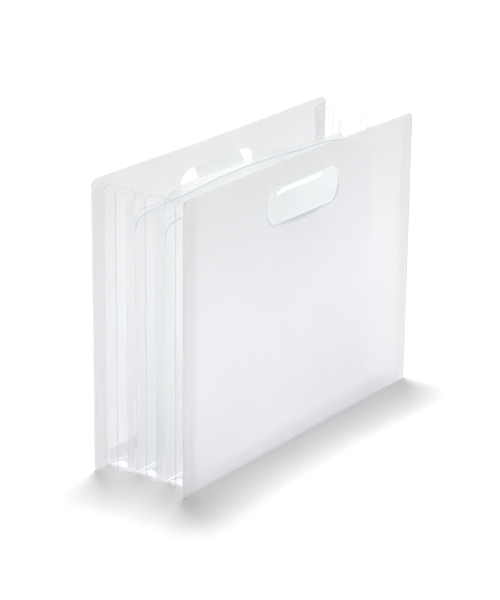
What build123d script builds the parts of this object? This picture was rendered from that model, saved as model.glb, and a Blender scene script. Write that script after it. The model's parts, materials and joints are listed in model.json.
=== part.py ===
from build123d import *
from math import asin, cos, degrees, radians, sin, sqrt
import os

os.makedirs("parts", exist_ok=True)

# Expanding file, folded and welded from frosted polypropylene sheet, standing as it is used.
# X runs along the panels, left to right seen from the front. The front is -Y and Z is up,
# with the origin at the middle of the footprint. Lengths are in millimetres, angles in degrees.

# Panels
panel_width = 335.0
panel_height = 255.0
panel_thickness = 0.8
panel_top_radius = 7.0
panel_bottom_radius = 3.0

# Hand holes, and the flap left in each one, hinged along the hole's top edge
hole_length = 105.0
hole_height = 32.0
hole_top_margin = 21.0
flap_width = 65.0
flap_height = 10.5
flap_corner_radius = 3.0
flap_rest_tilt = 14.0
flap_hinge_gap = 0.2

# Concertina: a gusset has two strips to a pocket, folded outwards in the middle of it
pocket_count = 3
sheet_thickness = 0.35
strip_length = 16.4
strip_lean = 20.8
strip_end_gap = 0.08
strip_corner_radius = 5.0
gusset_top_margin = 6.0
floor_gap = 0.3

# Flanges by which the folded sheets are welded on
panel_flange_margin = 1.0
panel_flange_radius = 4.0
divider_flange_width = 7.0
divider_flange_setback = 1.0
divider_flange_top_margin = 10.0
bottom_flange_height = 12.0

# Dividers, each of two plies face to face
ply_thickness = 0.35
front_ply_top_margin = 27.0
rear_ply_top_margin = 25.0
ply_corner_radius = 9.0
ply_side_gap = 0.45
ply_bottom_gap = 0.3

# Pocket bottoms, creased upwards in the middle. They are a little shorter and steeper than
# the gusset strips, so that they clear the divider plies when the file is shut.
bottom_shortening = 0.25
bottom_extra_lean = 1.8
bottom_side_gap = 1.5
bottom_hinge_gap = 0.1

# Places of the folds
pocket_pitch = 2 * strip_length * cos(radians(strip_lean))
inner_fold_x = panel_width / 2 - strip_length - sheet_thickness
first_fold_y = -pocket_count * pocket_pitch / 2
fold_ys = [first_fold_y + i * pocket_pitch for i in range(pocket_count + 1)]
bottom_fold_z = floor_gap + sheet_thickness
gusset_top_z = panel_height - gusset_top_margin
hole_top_z = panel_height - hole_top_margin

# Each panel stands outside the end folds by the flange's thickness.
# Its inward direction along Y is +1 for the front and -1 for the back.
panels = {
    "front": (fold_ys[0] - sheet_thickness, 1),
    "back": (fold_ys[-1] + sheet_thickness, -1),
}
sides = {"left": -1, "right": 1}


def wall_plane(y):
    """Upright plane across the depth at y, seen from the front: local x is X, local y is Z."""
    return Plane(origin=(0, y, 0), x_dir=(1, 0, 0), z_dir=(0, -1, 0))


def fold_tilt(length, lean):
    """Angle of a strip's faces, when its hinge line on opposite faces leans by lean."""
    return lean + degrees(asin(sheet_thickness / length))


def fold_run(length):
    """Length of a strip's faces, when its hinges lie on opposite faces."""
    return sqrt(length**2 - sheet_thickness**2)


def side_plane(side, y, facing, lift=0.0):
    """Upright plane of a gusset strip that starts at the inner fold at y.

    side is -1 or +1 along X, facing is +1 for a strip that goes back from its fold and -1 for
    one that goes forward. Local x runs outwards along the strip and local y is Z. The strip's
    thickness lies towards the pocket, and lift moves the plane that way.
    """
    tilt = radians(fold_tilt(strip_length, strip_lean))
    along = Vector(side * sin(tilt), facing * cos(tilt), 0)
    inward = Vector(-side * cos(tilt), facing * sin(tilt), 0)
    corner = Vector(side * inner_fold_x, y, 0) + inward * lift
    return Plane(origin=corner, x_dir=along, z_dir=along.cross(Vector(0, 0, 1)))


def bottom_plane(y, facing):
    """Plane of a pocket bottom's half that starts at the bottom fold at y.

    Local x is X and local y runs up the slope, to the back where facing is +1.
    """
    tilt = radians(fold_tilt(strip_length - bottom_shortening, strip_lean + bottom_extra_lean))
    slope = Vector(0, facing * cos(tilt), sin(tilt))
    across = Vector(1, 0, 0)
    return Plane(origin=(0, y, bottom_fold_z), x_dir=across, z_dir=across.cross(slope))


# Panels with their hand holes
for end, (inner_y, inward) in panels.items():
    with BuildPart() as panel:
        with BuildSketch(wall_plane(inner_y)) as outline:
            with Locations((0, panel_height / 2)):
                Rectangle(panel_width, panel_height)
            fillet(outline.vertices().group_by(Axis.Y)[-1], panel_top_radius)
            fillet(outline.vertices().group_by(Axis.Y)[0], panel_bottom_radius)
            with Locations((0, hole_top_z - hole_height / 2)):
                SlotOverall(hole_length, hole_height, mode=Mode.SUBTRACT)
        extrude(amount=inward * panel_thickness)
    panel.part.label = f"{end}_panel"
    export_step(panel.part, f"parts/{end}_panel.step")

# Handle flaps, which hang from the hole's top edge on the inner face and tilt into the pocket
for end, (inner_y, inward) in panels.items():
    flap_up = Vector(0, -inward * sin(radians(flap_rest_tilt)), cos(radians(flap_rest_tilt)))
    across = Vector(1, 0, 0)
    hinge = Plane(origin=(0, inner_y, hole_top_z), x_dir=across, z_dir=across.cross(flap_up))
    with BuildPart() as flap:
        with BuildSketch(hinge) as outline:
            with Locations((0, -flap_hinge_gap)):
                Rectangle(flap_width, flap_height - flap_hinge_gap, align=(Align.CENTER, Align.MAX))
            fillet(outline.vertices().group_by(Axis.Y)[0], flap_corner_radius)
        extrude(amount=inward * panel_thickness)
    flap.part.label = f"{end}_handle_flap"
    export_step(flap.part, f"parts/{end}_handle_flap.step")

# Gusset flanges, welded to the panels' inner faces between the edge and the inner fold
for end, (inner_y, inward) in panels.items():
    for side_name, side in sides.items():
        flange_outer_x = panel_width / 2 - panel_flange_margin
        with BuildPart() as flange:
            with BuildSketch(wall_plane(inner_y)) as outline:
                with Locations((side * (inner_fold_x + flange_outer_x) / 2, (floor_gap + gusset_top_z) / 2)):
                    Rectangle(flange_outer_x - inner_fold_x, gusset_top_z - floor_gap)
                fillet(outline.vertices().group_by(Axis.Y)[-1], panel_flange_radius)
            extrude(amount=-inward * sheet_thickness)
        flange.part.label = f"{end}_panel_{side_name}_weld_flange"
        export_step(flange.part, f"parts/{end}_panel_{side_name}_weld_flange.step")

# Gusset strips, numbered from the front: odd ones go back and out from a fold,
# even ones come back in to the next fold
for side_name, side in sides.items():
    for pocket in range(pocket_count):
        for step, facing in enumerate((1, -1)):
            with BuildPart() as strip:
                with BuildSketch(side_plane(side, fold_ys[pocket + step], facing)) as outline:
                    with Locations((strip_end_gap, floor_gap)):
                        Rectangle(
                            fold_run(strip_length) - 2 * strip_end_gap,
                            gusset_top_z - floor_gap,
                            align=(Align.MIN, Align.MIN),
                        )
                    fillet(outline.vertices().group_by(Axis.Y)[-1], strip_corner_radius)
                extrude(amount=-side * facing * sheet_thickness)
            node = f"{side_name}_gusset_strip_{2 * pocket + step + 1}"
            strip.part.label = node
            export_step(strip.part, f"parts/{node}.step")

# Dividers: a front and a rear ply meet on the plane of each inner fold
ply_width = 2 * (inner_fold_x - ply_side_gap)
ply_bottom_z = bottom_fold_z + ply_bottom_gap
ply_forms = {"front": (1, front_ply_top_margin), "rear": (-1, rear_ply_top_margin)}
for divider in range(1, pocket_count):
    for ply_name, (forward, top_margin) in ply_forms.items():
        with BuildPart() as ply:
            with BuildSketch(wall_plane(fold_ys[divider])) as outline:
                with Locations((0, ply_bottom_z)):
                    Rectangle(
                        ply_width,
                        panel_height - top_margin - ply_bottom_z,
                        align=(Align.CENTER, Align.MIN),
                    )
                fillet(outline.vertices().group_by(Axis.Y)[-1], ply_corner_radius)
            extrude(amount=forward * ply_thickness)
        node = f"divider_{divider}_{ply_name}_ply"
        ply.part.label = node
        export_step(ply.part, f"parts/{node}.step")

# Divider flanges, welded to the pocket face of the strip behind each divider
divider_flange_height = gusset_top_z - divider_flange_top_margin - floor_gap
for divider in range(1, pocket_count):
    for side_name, side in sides.items():
        with BuildPart() as flange:
            with BuildSketch(side_plane(side, fold_ys[divider], 1, lift=sheet_thickness)) as outline:
                with Locations((divider_flange_setback, floor_gap)):
                    Rectangle(
                        divider_flange_width,
                        divider_flange_height,
                        align=(Align.MIN, Align.MIN),
                    )
            extrude(amount=-side * ply_thickness)
        node = f"divider_{divider}_{side_name}_weld_flange"
        flange.part.label = node
        export_step(flange.part, f"parts/{node}.step")

# Pocket bottoms. The front half hinges on what stands in front of the pocket, which is the
# first fold or the rear face of a divider, and the rear half comes down from the crease.
bottom_width = 2 * (inner_fold_x - bottom_side_gap)
bottom_length = strip_length - bottom_shortening
bottom_pitch = 2 * bottom_length * cos(radians(strip_lean + bottom_extra_lean))
for pocket in range(pocket_count):
    hinge_offset = ply_thickness + bottom_hinge_gap if pocket > 0 else 0.0
    front_fold_y = fold_ys[pocket] + hinge_offset
    halves = {"front": (front_fold_y, 1), "rear": (front_fold_y + bottom_pitch, -1)}
    for half_name, (fold_y, facing) in halves.items():
        with BuildPart() as half:
            with BuildSketch(bottom_plane(fold_y, facing)):
                with Locations((0, strip_end_gap)):
                    Rectangle(
                        bottom_width,
                        fold_run(bottom_length) - 2 * strip_end_gap,
                        align=(Align.CENTER, Align.MIN),
                    )
            extrude(amount=-facing * sheet_thickness)
        node = f"pocket_{pocket + 1}_bottom_{half_name}_half"
        half.part.label = node
        export_step(half.part, f"parts/{node}.step")

# Bottom flanges, turned up against the panels' inner faces and welded there
for end, (inner_y, inward) in panels.items():
    with BuildPart() as flange:
        with BuildSketch(wall_plane(inner_y)):
            with Locations((0, bottom_fold_z)):
                Rectangle(bottom_width, bottom_flange_height, align=(Align.CENTER, Align.MIN))
        extrude(amount=-inward * sheet_thickness)
    flange.part.label = f"{end}_panel_bottom_weld_flange"
    export_step(flange.part, f"parts/{end}_panel_bottom_weld_flange.step")
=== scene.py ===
import json
import math

import bpy
import numpy as np
from bpy.props import FloatProperty, FloatVectorProperty, PointerProperty
from bpy.types import Operator, Panel, PropertyGroup
from mathutils import Matrix, Vector


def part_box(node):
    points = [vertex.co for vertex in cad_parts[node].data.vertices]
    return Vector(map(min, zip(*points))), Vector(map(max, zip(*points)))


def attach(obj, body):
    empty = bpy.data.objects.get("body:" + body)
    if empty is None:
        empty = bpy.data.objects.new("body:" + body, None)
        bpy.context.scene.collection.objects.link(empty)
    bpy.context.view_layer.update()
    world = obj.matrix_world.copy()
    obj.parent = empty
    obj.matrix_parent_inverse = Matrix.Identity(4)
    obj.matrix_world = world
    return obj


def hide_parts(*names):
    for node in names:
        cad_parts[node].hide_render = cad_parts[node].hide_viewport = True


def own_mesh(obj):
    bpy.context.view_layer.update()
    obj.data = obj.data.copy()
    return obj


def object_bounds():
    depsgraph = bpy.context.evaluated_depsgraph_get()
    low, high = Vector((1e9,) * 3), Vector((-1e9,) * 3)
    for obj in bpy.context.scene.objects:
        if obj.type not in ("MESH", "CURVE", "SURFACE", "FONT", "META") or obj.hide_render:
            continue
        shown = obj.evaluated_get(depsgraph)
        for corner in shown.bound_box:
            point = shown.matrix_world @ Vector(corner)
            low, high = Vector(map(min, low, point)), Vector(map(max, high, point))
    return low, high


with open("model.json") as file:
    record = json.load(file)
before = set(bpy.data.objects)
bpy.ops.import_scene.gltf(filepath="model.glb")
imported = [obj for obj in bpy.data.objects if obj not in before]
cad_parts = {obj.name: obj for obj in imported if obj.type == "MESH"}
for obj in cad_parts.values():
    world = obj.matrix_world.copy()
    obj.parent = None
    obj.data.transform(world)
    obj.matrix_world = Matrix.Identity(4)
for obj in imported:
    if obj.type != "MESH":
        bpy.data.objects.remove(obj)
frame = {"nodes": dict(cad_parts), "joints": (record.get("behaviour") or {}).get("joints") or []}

bl_info = {
    "name": "Expanding file",
    "version": (1, 0, 0),
    "blender": (4, 5, 0),
    "location": "View3D > Sidebar > Expanding file",
    "description": "Dresses an expanding file of frosted sheet and sets up its studio",
    "category": "Object",
}

CAD_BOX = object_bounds()
MM = 0.001
FOLDS = {j["name"]: np.array(j["pos_m"]) for j in frame["joints"]}
SIDES = {"left": -1.0, "right": 1.0}
ENDS = {"front": 1.0, "back": -1.0}
POCKETS = 3
DIVIDERS = (1, 2)
# Thickness of the gussets' sheet, and how far its strips stop short of a fold
GUSSET_SHEET = 0.35 * MM
STRIP_END_GAP = 0.08 * MM
# How far the CAD flaps tilt in, in degrees
FLAP_TILT = 14
# Clearness and glow of the finishes that have no setting of their own
BOTTOM_CLEAR = 0.20
WELD_CLEAR, WELD_GLOW = 0.62, 0.60
EDGE_CLEAR, EDGE_GLOW = 0.30, 0.40
CREASE_CLEAR, CREASE_GLOW = 0.60, 0.45
OUTER_CREASE_CLEAR, OUTER_CREASE_GLOW = 0.45, 0.40
# Tint of a welded band, as a share of the panel's or the gusset's own
PANEL_WELD_SHADE = 0.96
GUSSET_WELD_SHADE = 0.99
# The camera, fitted to the panels' corners in a frame of 500 by 600 pixels: degrees, metres and pixels
YAW, PITCH, ROLL = 54.19, 20.0, 0.61
CAMERA_DISTANCE, FOCAL, FRAME_HEIGHT = 2.0257, 2339.0, 600
# The fit was made for a file 320 mm wide, and this one is 335
CAMERA_SCALE = 335.0 / 320.0


def linear(colour):
    """An sRGB hex colour as linear red, green, blue and 1."""
    channels = [int(colour[i : i + 2], 16) / 255 for i in (1, 3, 5)]
    return [c / 12.92 if c <= 0.04045 else ((c + 0.055) / 1.055) ** 2.4 for c in channels] + [1.0]


def length(mm, name, text, low=0.0, high=500.0):
    """A size property in metres, with its default and limits in millimetres."""
    return FloatProperty(
        name=name, description=text, default=mm * MM, min=low * MM, max=high * MM, precision=5, unit="LENGTH"
    )


def colour(code, name, text):
    """A colour property with an sRGB hex default."""
    return FloatVectorProperty(
        name=name, description=text, default=linear(code), size=4, min=0.0, max=1.0, subtype="COLOR"
    )


def share(value, name, text, high=1.0):
    """A plain number property from 0 to high."""
    return FloatProperty(name=name, description=text, default=value, min=0.0, max=high)


class ExpandingFileSizes(PropertyGroup):
    """Shapes that the sheets take when the file stands open."""

    corner_top: length(7.0, "Top corner", "Radius of a panel's top corners")
    corner_bottom: length(3.0, "Bottom corner", "Radius of a panel's bottom corners")
    hole_length: length(105.0, "Hole length", "Length of the hand hole")
    hole_height: length(32.0, "Hole height", "Height of the hand hole")
    hole_margin: length(21.0, "Hole margin", "From the hole's top edge to the panel's top edge")
    panel_bow: length(2.4, "Panel bow", "How far the middle of a panel's top edge leans in")
    flap_corner: length(3.0, "Flap corner", "Radius of a handle flap's free corners")
    flap_depth: length(6.2, "Flap depth", "How far in a handle flap's free edge stands")
    strip_corner: length(5.0, "Strip corner", "Radius of a gusset strip's top corners")
    strip_bow: length(0.3, "Strip bow", "How far the middle of a gusset strip stands out")
    strip_edge: length(0.175, "Strip edge", "Radius of a gusset strip's top edge, rounded by the blade")
    crease: length(0.32, "Crease", "Radius of the rolled bead along a crease")
    ply_corner: length(9.0, "Ply corner", "Radius of a divider ply's top corners")
    ply_fall: length(4.6, "Ply fall", "How far a ply's top edge falls towards its ends")
    rear_bow: length(16.0, "Rear ply bow", "How far the last divider's rear ply bows back")
    first_rear_bow: length(7.0, "First rear ply bow", "How far the first divider's rear ply bows back")
    front_bow: length(8.0, "Front ply bow", "How far the last divider's front ply bows back")
    first_front_bow: length(3.0, "First front ply bow", "How far the first divider's front ply bows back")
    cut_edge: length(0.32, "Cut edge", "Radius of a ply's top edge, rounded by the blade")


class ExpandingFileFinish(PropertyGroup):
    """Colours and clearness of the sheets."""

    panel: colour("#FAFAFC", "Panel", "Frosted sheet of the two panels")
    # The flap's tint is greyer than the panel's: painted shade on the tilted flap
    flap: colour("#F2F5F5", "Handle flap", "Frosted sheet of the handle flaps")
    gusset: colour("#F6F6F8", "Gusset", "Thin frosted sheet of the gussets and pocket bottoms")
    divider: colour("#FCFDFD", "Divider", "Thin frosted sheet of the dividers")
    edge: colour("#EEF3F2", "Cut edge", "Cut edges, where the light leaves the sheet")
    # Ply edge: a darker tint, painted shade along the front plies' top edges
    cut: colour("#BCCBD1", "Ply edge", "Cut top edges of the dividers")
    crease: colour("#F2F6F7", "Crease", "Whitened plastic along a crease")
    # Outer crease: a darker tint, painted shade along the gusset's outer folds and the strips' top edges
    painted_shade_line: colour("#D3DCE1", "Outer crease", "Shaded plastic along a gusset's outer folds")
    panel_clear: share(0.13, "Panel clearness", "Share of light that goes straight through a panel")
    flap_clear: share(0.20, "Flap clearness", "Share of light that goes straight through a flap")
    gusset_clear: share(0.76, "Gusset clearness", "Share of light that goes straight through a gusset")
    divider_clear: share(0.30, "Divider clearness", "Share of light that goes straight through a divider")
    panel_glow: share(0.50, "Panel glow", "Share of a panel's scattered light that comes from behind")
    thin_glow: share(0.80, "Thin sheet glow", "The same for the gussets and dividers")


class ExpandingFileStudio(PropertyGroup):
    """The light and the floor."""

    walls: share(0.47, "Walls", "Brightness of the light from all round at the floor's level", 4.0)
    ceiling: share(0.41, "Ceiling", "Brightness of the light from straight above", 4.0)
    key: share(23.0, "Key light", "Power of the soft lamp above, in watts", 100.0)
    key_size: length(400.0, "Key size", "Side of the soft lamp above", 1.0, 4000.0)
    front: share(0.33, "Front light", "Power of the low soft lamp in front, in watts", 100.0)
    side: share(0.1, "Side light", "Power of the low soft lamp on the left, in watts", 100.0)
    low_width: length(1200.0, "Low width", "Width of a low soft lamp", 1.0, 4000.0)
    low_height: length(40.0, "Low height", "Height of a low soft lamp", 1.0, 4000.0)
    low_level: length(30.0, "Low level", "A low lamp's middle above the floor", 1.0, 4000.0)
    low_aim: length(70.0, "Low aim", "The level that a low lamp points at, above the floor", 0.0, 4000.0)
    front_distance: length(
        240.0, "Front distance", "From the file's middle to the low lamp in front", 1.0, 9000.0
    )
    side_distance: length(
        440.0, "Side distance", "From the file's middle to the low lamp on the left", 1.0, 9000.0
    )
    key_distance: length(350.0, "Key distance", "From above the file's middle to the lamp above", 1.0, 9000.0)
    key_level: length(1790.0, "Key level", "The lamp above, from the floor", 1.0, 9000.0)
    floor: colour("#FBFBFB", "Floor", "Pale floor")
    floor_lift: share(
        0.48, "Floor lift", "Brightness added far from the file to the floor as the camera sees it"
    )
    # Painted light on the floor under the file, for rays from the camera, mirrors and glass
    painted_light_under: share(0.35, "Painted light under the file", "The same for the floor between the folds")
    under_edge: length(3.0, "Under edge", "Distance in from the folds over which that lift grows", 0.0, 500.0)
    floor_near: length(50.0, "Lift start", "Distance from the file at which the lift starts", 0.0, 2000.0)
    floor_far: length(1500.0, "Lift end", "Distance from the file at which the lift is whole", 0.0, 6000.0)


def add(tree, kind, inputs=None, **settings):
    """Adds a node, sets its properties, and fills or links its inputs."""
    made = tree.nodes.new(kind)
    for name, value in settings.items():
        setattr(made, name, value)
    for name, value in (inputs or {}).items():
        if isinstance(value, bpy.types.NodeSocket):
            tree.links.new(value, made.inputs[name])
        else:
            made.inputs[name].default_value = value
    return made


def frosted_sheet(name, tint, clear, glow, weld=None, solid=True):
    """Frosted polypropylene sheet, extruded and embossed: soft, milky and half see-through.

    Scattered light is a mix of what falls on the sheet and what comes through it. The tint varies
    with the sheet's thickness and its drawing lines. weld is the distance from the middle along X
    past which rows of weld dots show, and their tint. solid is for a sheet that has two faces.
    """
    material = bpy.data.materials.get(name)
    if material:
        return material
    material = bpy.data.materials.new(name)
    material.use_nodes = True
    tree = material.node_tree
    tree.nodes.clear()
    place = add(tree, "ShaderNodeTexCoord").outputs["Object"]
    # Thickness varies over about 30 mm
    cloud = add(tree, "ShaderNodeTexNoise", {"Vector": place, "Scale": 1 / (30 * MM), "Detail": 2.0})
    # Lines from the extrusion run up the sheet, 6 mm apart
    stretch = (1 / (6 * MM), 1 / (6 * MM), 1 / (140 * MM))
    drawn = add(tree, "ShaderNodeMapping", {"Vector": place, "Scale": stretch})
    lines = add(tree, "ShaderNodeTexNoise", {"Vector": drawn.outputs["Vector"], "Scale": 1.0, "Detail": 1.0})
    # The frosting's grain is about 0.1 mm, drawn at 0.8 mm so that it shows
    grain = add(tree, "ShaderNodeTexNoise", {"Vector": place, "Scale": 1 / (0.8 * MM), "Detail": 3.0})
    uneven = add(
        tree,
        "ShaderNodeMath",
        {0: lines.outputs["Fac"], 1: 0.35, 2: cloud.outputs["Fac"]},
        operation="MULTIPLY_ADD",
    )
    uneven = add(
        tree,
        "ShaderNodeMath",
        {0: grain.outputs["Fac"], 1: 0.5, 2: uneven.outputs[0]},
        operation="MULTIPLY_ADD",
    )
    deep = [c * 0.978 for c in tint[:3]] + [1.0]
    level = add(
        tree,
        "ShaderNodeMapRange",
        {"Value": uneven.outputs[0], "From Min": 0.6, "From Max": 1.25},
    )
    body = add(
        tree,
        "ShaderNodeMix",
        {"Factor": level.outputs["Result"], "A": deep, "B": tint},
        data_type="RGBA",
    )
    tinted = body.outputs["Result"]
    height = grain.outputs["Fac"]
    if weld:
        # Weld dots, 2 mm apart, pressed into the band where two sheets are joined
        apart = add(tree, "ShaderNodeSeparateXYZ", {"Vector": place})
        away = add(tree, "ShaderNodeMath", {0: apart.outputs["X"]}, operation="ABSOLUTE")
        inside = add(
            tree,
            "ShaderNodeMapRange",
            {"Value": away.outputs[0], "From Min": weld[0], "From Max": weld[0] + 0.8 * MM},
        )
        dots = add(tree, "ShaderNodeTexVoronoi", {"Vector": place, "Scale": 1 / (2 * MM), "Randomness": 0.0})
        pressed = add(
            tree,
            "ShaderNodeMapRange",
            {"Value": dots.outputs["Distance"], "From Min": 0.25, "From Max": 0.45},
        )
        height = add(
            tree,
            "ShaderNodeMath",
            {0: inside.outputs["Result"], 1: pressed.outputs["Result"], 2: height},
            operation="MULTIPLY_ADD",
        ).outputs[0]
        joined = add(
            tree,
            "ShaderNodeMix",
            {"Factor": inside.outputs["Result"], "A": tinted, "B": weld[1]},
            data_type="RGBA",
        )
        tinted = joined.outputs["Result"]
    relief = add(tree, "ShaderNodeBump", {"Height": height, "Strength": 0.25, "Distance": 0.05 * MM})
    face = add(
        tree,
        "ShaderNodeBsdfPrincipled",
        {"Base Color": tinted, "Roughness": 0.48, "IOR": 1.49, "Normal": relief.outputs["Normal"]},
    )
    through = add(tree, "ShaderNodeBsdfTranslucent", {"Color": tinted, "Normal": relief.outputs["Normal"]})
    milky = add(tree, "ShaderNodeMixShader", {0: glow, 1: face.outputs[0], 2: through.outputs[0]})
    straight = add(tree, "ShaderNodeBsdfTransparent")
    if solid:
        # Light is scattered once in the sheet, as it comes in, and leaves by the far face undisturbed
        far_face = add(tree, "ShaderNodeNewGeometry").outputs["Backfacing"]
        clear = add(tree, "ShaderNodeMath", {0: far_face, 1: clear}, operation="MAXIMUM").outputs[0]
    whole = add(tree, "ShaderNodeMixShader", {0: clear, 1: milky.outputs[0], 2: straight.outputs[0]})
    add(tree, "ShaderNodeOutputMaterial", {"Surface": whole.outputs[0]})
    return material


def finishes():
    """The file's materials by name, made from the finish settings."""
    finish = bpy.context.scene.expanding_file_finish
    inner_fold = abs(FOLDS["fold"][0])
    panel_weld = [c * PANEL_WELD_SHADE for c in finish.panel[:3]] + [1.0]
    gusset_weld = [c * GUSSET_WELD_SHADE for c in finish.gusset[:3]] + [1.0]
    return {
        # Extruded 0.8 mm sheet, embossed matt: milky, soft light, faint shapes behind it
        "panel": frosted_sheet(
            "Frosted polypropylene panel",
            list(finish.panel),
            finish.panel_clear,
            finish.panel_glow,
            (inner_fold, panel_weld),
        ),
        # The panel's sheet, clearer, with a greyer tint: painted shade that dims the tilted flap
        "flap": frosted_sheet(
            "Frosted polypropylene flap, painted shade",
            list(finish.flap),
            finish.flap_clear,
            finish.panel_glow,
        ),
        # The same plastic at 0.35 mm: much clearer, so that the folds show through each other.
        # Below a clearness of about 0.75 the render's noise filter smears what lies behind the strips.
        "gusset": frosted_sheet(
            "Frosted polypropylene gusset sheet",
            list(finish.gusset),
            finish.gusset_clear,
            finish.thin_glow,
            solid=False,
        ),
        # The gusset's sheet, drawn milkier, so that the pocket bottoms show as surfaces
        "bottom": frosted_sheet(
            "Frosted polypropylene bottom sheet", list(finish.gusset), BOTTOM_CLEAR, finish.thin_glow
        ),
        # Two sheets fused together: less clear and a little darker
        "weld": frosted_sheet("Welded polypropylene flange", gusset_weld, WELD_CLEAR, WELD_GLOW),
        # Thin sheet of a cooler, greener white
        "divider": frosted_sheet(
            "Frosted polypropylene divider sheet",
            list(finish.divider),
            finish.divider_clear,
            finish.thin_glow,
            solid=False,
        ),
        # Where a sheet is cut, light gathers and leaves along the edge
        "edge": frosted_sheet("Cut polypropylene edge", list(finish.edge), EDGE_CLEAR, EDGE_GLOW),
        # The thin edge of a ply pipes the light away and looks darker and greener: that darker line is
        # painted shade along the front plies' top edges
        "cut": frosted_sheet("Polypropylene ply edge, painted shade", list(finish.cut), EDGE_CLEAR, EDGE_GLOW),
        # Polypropylene turns white where it's creased. The outer folds and the strips' top edges get a darker
        # tint: a painted shaded line
        "crease": frosted_sheet("Creased polypropylene", list(finish.crease), CREASE_CLEAR, CREASE_GLOW),
        "painted shade line": frosted_sheet(
            "Polypropylene with a painted shade line",
            list(finish.painted_shade_line),
            OUTER_CREASE_CLEAR,
            OUTER_CREASE_GLOW,
        ),
    }


def surface(name, points, materials, wrap=False, thickness=0.0, flip=False):
    """A mesh through a grid of points, rows by columns by 3, with quads between neighbours.

    wrap joins the last column to the first. A thickness is laid half on each side by Solidify,
    and its rim takes the second material.
    """
    rows, columns = points.shape[:2]
    index = np.arange(rows * columns).reshape(rows, columns)
    if wrap:
        index = np.hstack([index, index[:, :1]])
    a, b, c, d = index[:-1, :-1], index[:-1, 1:], index[1:, 1:], index[1:, :-1]
    quads = np.stack([a, b, c, d], axis=-1).reshape(-1, 4)
    if flip:
        quads = quads[:, ::-1]
    mesh = bpy.data.meshes.new(name)
    mesh.from_pydata(points.reshape(-1, 3).tolist(), [], quads.tolist())
    mesh.validate()
    mesh.shade_smooth()
    made = bpy.data.objects.new(name, mesh)
    bpy.context.scene.collection.objects.link(made)
    for material in materials:
        mesh.materials.append(material)
    if thickness:
        wall = made.modifiers.new("Thickness", "SOLIDIFY")
        wall.thickness, wall.offset = thickness, 0.0
        wall.material_offset_rim = 1
        wall.use_even_offset = True
    return made


def bead(name, path, radius, material, steps=2, over=(0.0, 1.0, 0.0)):
    """A round bead along a path: a circle of 8 points carried along it.

    The path lies in the plane square to over. The radius rises from nothing along a quarter
    circle at both ends, which closes them.
    """
    path = np.array(path, float)
    gone = np.concatenate([[0.0], np.cumsum(np.linalg.norm(np.diff(path, axis=0), axis=1))])
    quarter = np.linspace(0.02, math.pi / 2, 4)
    rise, swell = radius * (1 - np.cos(quarter)), radius * np.sin(quarter)
    middle = np.linspace(radius, gone[-1] - radius, steps)[1:-1]
    run = np.concatenate([rise, middle, gone[-1] - rise[::-1]])
    size = np.concatenate([swell, np.full(len(middle), radius), swell[::-1]])
    centre = np.stack([np.interp(run, gone, path[:, axis]) for axis in range(3)], axis=1)
    along = np.gradient(centre, axis=0)
    over = np.array(over, float)
    side = np.cross(along, over)
    side /= np.linalg.norm(side, axis=1)[:, None]
    turn = np.linspace(0, 2 * math.pi, 8, endpoint=False)
    ring = np.cos(turn)[:, None] * side[:, None, :] + np.sin(turn)[:, None] * over
    return surface(name, centre[:, None, :] + size[:, None, None] * ring, [material], wrap=True, flip=True)


def outline_distance(direction, centre, low, high, radius_low, radius_high):
    """How far each ray from centre runs before it leaves a rectangle with rounded corners.

    The signed distance to the rectangle's edge is halved down along each ray. A point's distance is
    the length of what it lies beyond the corner circle's centre, less the corner's radius.
    """
    low, high = np.array(low), np.array(high)
    middle, half = (low + high) / 2, (high - low) / 2
    near, far = np.zeros(len(direction)), np.full(len(direction), 2 * np.linalg.norm(high - low))
    for _ in range(50):
        reach = (near + far) / 2
        point = centre + reach[:, None] * direction - middle
        radius = np.where(point[:, 1] > 0, radius_high, radius_low)
        beyond = np.abs(point) - half + radius[:, None]
        outside = np.linalg.norm(np.maximum(beyond, 0), axis=1)
        outside = outside + np.minimum(beyond.max(axis=1), 0) - radius
        near, far = np.where(outside < 0, reach, near), np.where(outside < 0, far, reach)
    return (near + far) / 2


def lean_in(x, z, bow, height):
    """A panel's lean: greatest at the middle of the top edge, none at the side folds or near the floor.

    Across, it is one less the square of x over the inner fold's x, squared. Upwards, it grows as
    the 1.6th power of the height above the bottom flange.
    """
    across = np.clip(1 - (x / abs(FOLDS["fold"][0])) ** 2, 0, 1) ** 2
    floor_part = 15 * MM
    return bow * across * np.clip((z - floor_part) / (height - floor_part), 0, 1) ** 1.6


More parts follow.
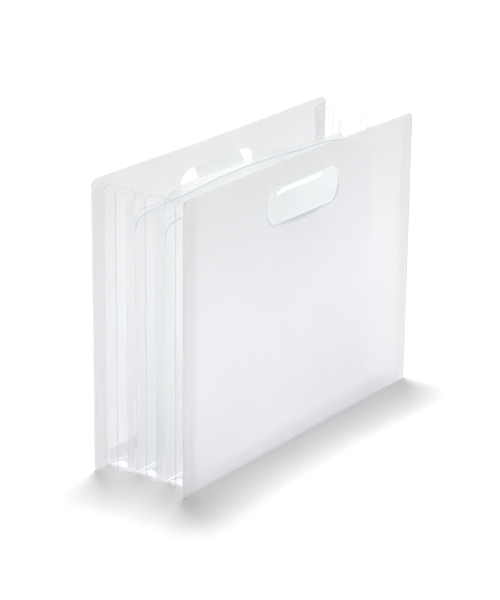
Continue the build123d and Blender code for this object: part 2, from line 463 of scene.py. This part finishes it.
class MakePanels(Operator):
    """Makes the two panels, each a bowed sheet with rounded corners and a hand hole."""

    bl_idname = "expanding_file.make_panels"
    bl_label = "Make panels"

    def execute(self, context):
        sizes = context.scene.expanding_file_sizes
        looks = finishes()
        for end, inward in ENDS.items():
            low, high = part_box(f"{end}_panel")
            hole_top = high.z - sizes.hole_margin
            centre = np.array([0.0, hole_top - sizes.hole_height / 2])
            hole_half = np.array([sizes.hole_length, sizes.hole_height]) / 2
            # Angles that meet both outlines at their corners, so that each arc is well sampled
            marks = []
            for radius, a, b in (
                (sizes.corner_top, low.x, high.z),
                (sizes.corner_top, high.x, high.z),
                (sizes.corner_bottom, low.x, low.z),
                (sizes.corner_bottom, high.x, low.z),
            ):
                turn = np.linspace(0, 2 * math.pi, 57)
                across, up = math.copysign(radius, a), math.copysign(radius, b - centre[1])
                around = np.array([a - across, b - up])
                corner = around + radius * np.stack([np.cos(turn), np.sin(turn)], axis=1)
                marks.append(corner - centre)
            across = np.linspace(-hole_half[0], hole_half[0], 61)
            marks += [np.stack([across, np.full(61, s * hole_half[1])], axis=1) for s in (-1, 1)]
            angles = np.concatenate([np.arctan2(m[:, 1], m[:, 0]) for m in marks])
            even = np.linspace(-math.pi, math.pi, 181)[:-1]
            angles = np.unique(np.round(np.concatenate([angles, even]), 4))
            ray = np.stack([np.cos(angles), np.sin(angles)], axis=1)
            outer = outline_distance(
                ray, centre, (low.x, low.z), (high.x, high.z), sizes.corner_bottom, sizes.corner_top
            )
            hole = outline_distance(
                ray, centre, centre - hole_half, centre + hole_half, hole_half[1], hole_half[1]
            )
            rows = np.linspace(0, 1, 41)[:, None]
            reach = hole + (outer - hole) * rows
            x = centre[0] + reach * ray[:, 0]
            z = centre[1] + reach * ray[:, 1]
            y = (low.y + high.y) / 2 + inward * lean_in(x, z, sizes.panel_bow, high.z)
            panel = surface(
                f"{end}_panel_sheet",
                np.stack([x, y, z], axis=-1),
                [looks["panel"], looks["edge"]],
                wrap=True,
                thickness=high.y - low.y,
            )
            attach(panel, end)
            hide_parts(f"{end}_panel")
            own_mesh(panel)
        return {"FINISHED"}


class MakeFlaps(Operator):
    """Makes the two handle flaps, which bend out of the hole's top edge on a crease."""

    bl_idname = "expanding_file.make_flaps"
    bl_label = "Make handle flaps"

    def execute(self, context):
        sizes = context.scene.expanding_file_sizes
        looks = finishes()
        for end, inward in ENDS.items():
            low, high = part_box(f"{end}_handle_flap")
            panel_low, panel_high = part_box(f"{end}_panel")
            hinge = FOLDS[f"{end}_flap_swing"]
            thickness = panel_high.y - panel_low.y
            middle = (panel_low.y + panel_high.y) / 2
            # The flap's length, and its lean from the panel
            run = (hinge[2] - low.z) / math.cos(math.radians(FLAP_TILT))
            lean = math.asin(sizes.flap_depth / run)
            v = np.linspace(0, 1, 25)[:, None] * run
            u = np.linspace(-1, 1, 41)[None, :]
            near_end = np.clip(v - (run - sizes.flap_corner), 0, sizes.flap_corner)
            half = high.x - sizes.flap_corner + np.sqrt(sizes.flap_corner**2 - near_end**2)
            x = u * half
            # The crease turns over 1 mm, then the flap runs straight
            crease = 1.0 * MM * (1 - np.exp(-v / (1.0 * MM)))
            z = hinge[2] - math.cos(lean) * v - (1 - math.cos(lean)) * crease + 0 * u
            root = lean_in(x, np.full_like(x, hinge[2]), sizes.panel_bow, panel_high.z)
            y = middle + inward * (root + math.sin(lean) * (v - crease) + 0 * u)
            flap = surface(
                f"{end}_handle_flap_sheet",
                np.stack([x, y, z], axis=-1),
                [looks["flap"], looks["edge"]],
                thickness=thickness,
            )
            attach(flap, f"{end}_flap")
            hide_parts(f"{end}_handle_flap")
            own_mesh(flap)
        return {"FINISHED"}


def strip_surface(inner, outer, side, low, high, sizes, thickness):
    """A gusset strip from its inner to its outer fold.

    Across, it runs straight between the folds and bows out by half a sine wave. Upwards, it goes
    to a top edge that falls along a quarter circle at both folds.
    """
    across = outer - inner
    full = np.linalg.norm(across)
    across = across / full
    inward = np.array([-across[1], across[0]])
    inward = inward * math.copysign(1.0, -side * inward[0])
    lean = math.asin(thickness / full)
    along = math.cos(lean) * across - math.sin(lean) * inward
    face = math.cos(lean) * inward + math.sin(lean) * across
    run = full * math.cos(lean)
    end_gap = STRIP_END_GAP
    # Columns lie closer together towards both folds
    u = (1 - np.cos(np.linspace(0, math.pi, 25))) / 2
    s = end_gap + u * (run - 2 * end_gap)
    depth = thickness / 2 - sizes.strip_bow * np.sin(math.pi * u)
    middle = inner + s[:, None] * along + depth[:, None] * face
    radius = sizes.strip_corner
    from_end = np.clip(np.minimum(s - end_gap, run - end_gap - s), 0, radius)
    top = high - radius + np.sqrt(np.maximum(radius**2 - (radius - from_end) ** 2, 0))
    v = np.linspace(0, 1, 33)[:, None]
    z = low + v * (top - low)
    return np.stack([middle[:, 0] + 0 * z, middle[:, 1] + 0 * z, z], axis=-1)


class MakeGussets(Operator):
    """Makes the folded side gussets: strips with rounded tops, their creases and weld flanges."""

    bl_idname = "expanding_file.make_gussets"
    bl_label = "Make gussets"

    def execute(self, context):
        sizes = context.scene.expanding_file_sizes
        looks = finishes()
        inner_names = ["fold", "divider_1_fold", "divider_2_fold", "back_fold"]
        for side_name, side in SIDES.items():
            for number in range(1, 2 * POCKETS + 1):
                node = f"{side_name}_gusset_strip_{number}"
                body = f"{side_name}_strip_{number}"
                low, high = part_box(node)
                mirror = np.array([-side, 1.0])
                inner = FOLDS[inner_names[number // 2]][:2] * mirror
                outer = FOLDS[f"left_fold_{number + number % 2}"][:2] * mirror
                points = strip_surface(inner, outer, side, low.z, high.z, sizes, GUSSET_SHEET)
                strip = surface(f"{node}_sheet", points, [looks["gusset"]])
                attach(strip, body)
                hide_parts(node)
                # The cut edge along the top shows as a thin line round each rounded top, in the darker tint
                # of painted shade
                run = points[-1, -1, :2] - points[-1, 0, :2]
                over = np.array([-run[1], run[0], 0.0]) / np.linalg.norm(run)
                rim = bead(f"{node}_cut_edge", points[-1], sizes.strip_edge, looks["painted shade line"], 60, over)
                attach(rim, body)
                top = high.z - sizes.strip_corner
                ends = [("inner", inner)] if number % 2 == 0 and number < 2 * POCKETS else []
                ends += [("outer", outer)] if number % 2 else []
                for place, at in ends:
                    path = [(at[0], at[1], low.z), (at[0], at[1], top)]
                    # Outer folds take the painted shade line, inner folds the whitened crease
                    look = looks["painted shade line" if place == "outer" else "crease"]
                    crease = bead(f"{node}_{place}_crease", path, sizes.crease, look)
                    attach(crease, body)
        for node, cad in frame["nodes"].items():
            if "weld_flange" in node:
                cad.data.materials[0] = looks["weld"]
        return {"FINISHED"}


def ply_bow(x, z, amount, height, bumps):
    """How far a loose ply bows out: two bumps along its top edge that fade towards the floor.

    A bump is one less the square of the distance from its middle over its half width, to the power
    1.5. It fades with the 1.7th power of the height.
    """
    total = 0
    for centre, half, share_of in bumps:
        t = (x - centre * MM) / (half * MM)
        total = total + share_of * np.clip(1 - t * t, 0, 1) ** 1.5
    return amount * total * np.clip(z / height, 0, 1) ** 1.7


# Middle and half width along X of each bump in millimetres, and its share of the bow
REAR_BUMPS = ((-62, 60, 0.35), (0, 135, 0.85))
FRONT_BUMPS = ((2, 92, 1.0),)
# Where along X a front ply's top edge starts to fall, and over what length it falls by its whole amount
FALL_START = 82 * MM
FALL_RUN = 64 * MM


class MakeDividers(Operator):
    """Makes the two dividers, each a front and a rear ply that part along their top edges."""

    bl_idname = "expanding_file.make_dividers"
    bl_label = "Make dividers"

    def execute(self, context):
        sizes = context.scene.expanding_file_sizes
        looks = finishes()
        for number in DIVIDERS:
            for ply in ("front", "rear"):
                node = f"divider_{number}_{ply}_ply"
                low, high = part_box(node)
                thickness = high.y - low.y
                x = np.linspace(low.x, high.x, 121)
                # Columns crowd into the corner arcs
                warp = (x - low.x) / (high.x - low.x)
                x = low.x + (high.x - low.x) * (0.7 * warp + 0.3 * (1 - np.cos(math.pi * warp)) / 2)
                radius = sizes.ply_corner
                from_end = np.clip(np.minimum(x - low.x, high.x - x), 0, radius)
                top = high.z - radius + np.sqrt(np.maximum(radius**2 - (radius - from_end) ** 2, 0))
                fallen = np.clip((np.abs(x) - FALL_START) / FALL_RUN, 0, 1.1) ** 2
                top -= sizes.ply_fall * fallen * (ply == "front")
                v = np.linspace(0, 1, 61)[:, None]
                z = low.z + v * (top - low.z)
                last = number == DIVIDERS[-1]
                if ply == "front":
                    amount, bumps = (sizes.front_bow if last else sizes.first_front_bow), FRONT_BUMPS
                else:
                    amount, bumps = (sizes.rear_bow if last else sizes.first_rear_bow), REAR_BUMPS
                y = (low.y + high.y) / 2 + ply_bow(x + 0 * z, z, amount, high.z, bumps)
                points = np.stack([x + 0 * z, y, z], axis=-1)
                made = surface(f"{node}_sheet", points, [looks["divider"]])
                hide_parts(node)
                # A front ply's top edge takes the darker painted shade, a rear ply's the crease's tint
                look = looks["cut" if ply == "front" else "crease"]
                rim = bead(f"{node}_cut_edge", points[-1], sizes.cut_edge, look, 160)
                for piece in (made, rim):
                    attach(piece, f"divider_{number}")
                    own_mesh(piece)
        return {"FINISHED"}


class MakeBottoms(Operator):
    """Finishes the creased pocket bottoms and puts a bead along each crease."""

    bl_idname = "expanding_file.make_bottoms"
    bl_label = "Make pocket bottoms"

    def execute(self, context):
        sizes = context.scene.expanding_file_sizes
        looks = finishes()
        for pocket in range(1, POCKETS + 1):
            for half in ("front", "rear"):
                frame["nodes"][f"pocket_{pocket}_bottom_{half}_half"].data.materials[0] = looks["bottom"]
            low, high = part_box(f"pocket_{pocket}_bottom_front_half")
            at = FOLDS[f"bottom_fold_{2 * pocket}"]
            path = [(low.x, at[1], at[2]), (high.x, at[1], at[2])]
            crease = bead(f"pocket_{pocket}_bottom_crease", path, sizes.crease, looks["crease"])
            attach(crease, f"bottom_{pocket}_front")
        return {"FINISHED"}


def seen_straight(tree):
    """1 for a ray from the camera, from a mirror or through glass, else 0."""
    path = add(tree, "ShaderNodeLightPath")
    some = add(
        tree,
        "ShaderNodeMath",
        {0: path.outputs["Is Camera Ray"], 1: path.outputs["Is Glossy Ray"]},
        operation="MAXIMUM",
    )
    return add(
        tree,
        "ShaderNodeMath",
        {0: some.outputs[0], 1: path.outputs["Is Transmission Ray"]},
        operation="MAXIMUM",
    ).outputs[0]


class MakeStage(Operator):
    """Lays the pale floor, sets the light and places the camera."""

    bl_idname = "expanding_file.make_stage"
    bl_label = "Make stage"

    def execute(self, context):
        studio = context.scene.expanding_file_studio
        reach = 6.0
        span = np.linspace(-reach, reach, 3)
        x, y = np.meshgrid(span, span)
        paint = bpy.data.materials.new("Matt white paper floor")
        paint.use_nodes = True
        tree = paint.node_tree
        tree.nodes.clear()
        matt = add(tree, "ShaderNodeBsdfDiffuse", {"Color": list(studio.floor)})
        # Distance from the rectangle that the file stands on
        place = add(tree, "ShaderNodeTexCoord").outputs["Object"]
        apart = add(tree, "ShaderNodeVectorMath", {0: place}, operation="ABSOLUTE")
        corner = Vector((abs(FOLDS["fold"][0]), abs(FOLDS["fold"][1]), 0))
        inside = add(tree, "ShaderNodeVectorMath", {0: apart.outputs[0], 1: corner}, operation="SUBTRACT")
        apart = add(tree, "ShaderNodeVectorMath", {0: apart.outputs[0], 1: CAD_BOX[1]}, operation="SUBTRACT")
        apart = add(tree, "ShaderNodeVectorMath", {0: apart.outputs[0], 1: (0, 0, 0)}, operation="MAXIMUM")
        apart = add(tree, "ShaderNodeVectorMath", {0: apart.outputs[0]}, operation="LENGTH")
        far_off = add(
            tree,
            "ShaderNodeMapRange",
            {
                "Value": apart.outputs["Value"],
                "From Min": studio.floor_near,
                "From Max": studio.floor_far,
            },
        )
        # The lift rises fast at first: the distance's 0.6th power
        far_off = add(tree, "ShaderNodeMath", {0: far_off.outputs["Result"], 1: 0.6}, operation="POWER")
        # Painted light: brightness added to the floor between the folds, standing in for the light that so
        # many thin sheets let down there
        ways = add(tree, "ShaderNodeSeparateXYZ", {"Vector": inside.outputs[0]})
        edge = add(tree, "ShaderNodeMath", {0: ways.outputs["X"], 1: ways.outputs["Y"]}, operation="MAXIMUM")
        under = add(
            tree,
            "ShaderNodeMapRange",
            {
                "Value": edge.outputs[0],
                "From Min": 0.0,
                "From Max": -studio.under_edge,
                "To Max": studio.painted_light_under,
            },
        )
        lift = add(
            tree,
            "ShaderNodeMath",
            {0: far_off.outputs[0], 1: studio.floor_lift, 2: under.outputs["Result"]},
            operation="MULTIPLY_ADD",
        )
        lift = add(tree, "ShaderNodeMath", {0: seen_straight(tree), 1: lift.outputs[0]}, operation="MULTIPLY")
        lifted = add(tree, "ShaderNodeEmission", {"Strength": lift.outputs[0]})
        both = add(tree, "ShaderNodeAddShader", {0: matt.outputs[0], 1: lifted.outputs[0]})
        add(tree, "ShaderNodeOutputMaterial", {"Surface": both.outputs[0]})
        floor = surface("floor", np.stack([x, y, 0 * x - 0.1 * MM], axis=-1), [paint])

        world = bpy.data.worlds.new("Studio")
        context.scene.world = world
        world.use_nodes = True
        tree = world.node_tree
        tree.nodes.clear()
        # A light tent with walls a little brighter than its ceiling.
        # The brightness goes from the ceiling's to the walls' as the square of one less the height.
        place = add(tree, "ShaderNodeTexCoord").outputs["Generated"]
        apart = add(tree, "ShaderNodeSeparateXYZ", {"Vector": place})
        fallen = add(
            tree, "ShaderNodeMath", {0: 1.0, 1: apart.outputs["Z"]}, operation="SUBTRACT", use_clamp=True
        )
        fallen = add(tree, "ShaderNodeMath", {0: fallen.outputs[0], 1: 2.0}, operation="POWER")
        tent = add(
            tree,
            "ShaderNodeMapRange",
            {"Value": fallen.outputs[0], "To Min": studio.ceiling, "To Max": studio.walls},
        )
        level = add(
            tree,
            "ShaderNodeMapRange",
            {"Value": seen_straight(tree), "To Min": tent.outputs["Result"], "To Max": 1.0},
        )
        sky = add(tree, "ShaderNodeBackground", {"Strength": level.outputs["Result"]})
        add(tree, "ShaderNodeOutputWorld", {"Surface": sky.outputs[0]})

        # One lamp hangs almost overhead, a little behind. Two long ones lie near the floor, in front
        # and on the left.
        # Turn is seen from above, from the way the front panel faces towards the left gusset.
        low = (studio.low_width, studio.low_height)
        key = (studio.key_size, studio.key_size)
        lamps = (
            ("Key lamp", studio.key, key, 225.0, studio.key_distance, studio.key_level, CAD_BOX[1].z / 2),
            ("Front lamp", studio.front, low, 4.0, studio.front_distance, studio.low_level, studio.low_aim),
            ("Side lamp", studio.side, low, 92.0, studio.side_distance, studio.low_level, studio.low_aim),
        )
        for name, power, size, turn, distance, level, aim in lamps:
            lamp = bpy.data.lights.new(name, "AREA")
            lamp.shape, lamp.size, lamp.size_y, lamp.energy = "RECTANGLE", *size, power
            made = bpy.data.objects.new(name, lamp)
            context.scene.collection.objects.link(made)
            turn = math.radians(turn)
            made.location = Vector((-math.sin(turn) * distance, -math.cos(turn) * distance, level))
            away = made.location - Vector((0, 0, aim))
            made.rotation_euler = away.to_track_quat("Z", "Y").to_euler()

        yaw, pitch, roll = math.radians(YAW), math.radians(PITCH), math.radians(ROLL)
        distance, focal, scale = CAMERA_DISTANCE, FOCAL, CAMERA_SCALE
        forward = Vector(
            (math.sin(yaw) * math.cos(pitch), math.cos(yaw) * math.cos(pitch), -math.sin(pitch))
        )
        right = Vector((math.cos(yaw), -math.sin(yaw), 0))
        up = right.cross(forward)
        target = Vector((0, 0, 0.125 * scale)) - right * 6.7 * MM * scale - up * 15.0 * MM * scale
        turned = right * math.cos(roll) + up * math.sin(roll)
        upright = up * math.cos(roll) - right * math.sin(roll)
        lens = bpy.data.cameras.new("Camera")
        lens.sensor_width = 36.0
        lens.lens = focal * lens.sensor_width / FRAME_HEIGHT
        lens.clip_start, lens.clip_end = 0.05, 50
        camera = bpy.data.objects.new("Camera", lens)
        context.scene.collection.objects.link(camera)
        turn = Matrix((turned, upright, -forward)).transposed().to_4x4()
        camera.matrix_world = Matrix.Translation(target - forward * distance) @ turn
        context.scene.camera = camera
        context.scene.view_settings.view_transform = "Standard"
        return {"FINISHED"}


class EXPANDING_FILE_PT_maker(Panel):
    """Lists the sizes, the finishes and the steps in the sidebar."""

    bl_label = "Expanding file"
    bl_space_type = "VIEW_3D"
    bl_region_type = "UI"
    bl_category = "Expanding file"

    def draw(self, context):
        for group in ("sizes", "finish", "studio"):
            settings = getattr(context.scene, f"expanding_file_{group}")
            box = self.layout.box()
            box.label(text=group.capitalize())
            for name in settings.bl_rna.properties.keys():
                if name not in ("rna_type", "name"):
                    box.prop(settings, name)
        for step in STEPS:
            self.layout.operator(step.bl_idname)


STEPS = (MakePanels, MakeFlaps, MakeGussets, MakeDividers, MakeBottoms, MakeStage)
GROUPS = {"sizes": ExpandingFileSizes, "finish": ExpandingFileFinish, "studio": ExpandingFileStudio}


def register():
    for kind in (*GROUPS.values(), *STEPS, EXPANDING_FILE_PT_maker):
        bpy.utils.register_class(kind)
    for name, kind in GROUPS.items():
        setattr(bpy.types.Scene, f"expanding_file_{name}", PointerProperty(type=kind))


def unregister():
    for name in GROUPS:
        delattr(bpy.types.Scene, f"expanding_file_{name}")
    for kind in (EXPANDING_FILE_PT_maker, *STEPS[::-1], *GROUPS.values()):
        bpy.utils.unregister_class(kind)


def main():
    """Makes every piece and the stage."""
    register()
    bpy.ops.expanding_file.make_panels()
    bpy.ops.expanding_file.make_flaps()
    bpy.ops.expanding_file.make_gussets()
    bpy.ops.expanding_file.make_dividers()
    bpy.ops.expanding_file.make_bottoms()
    bpy.ops.expanding_file.make_stage()


if __name__ == "__main__":
    main()
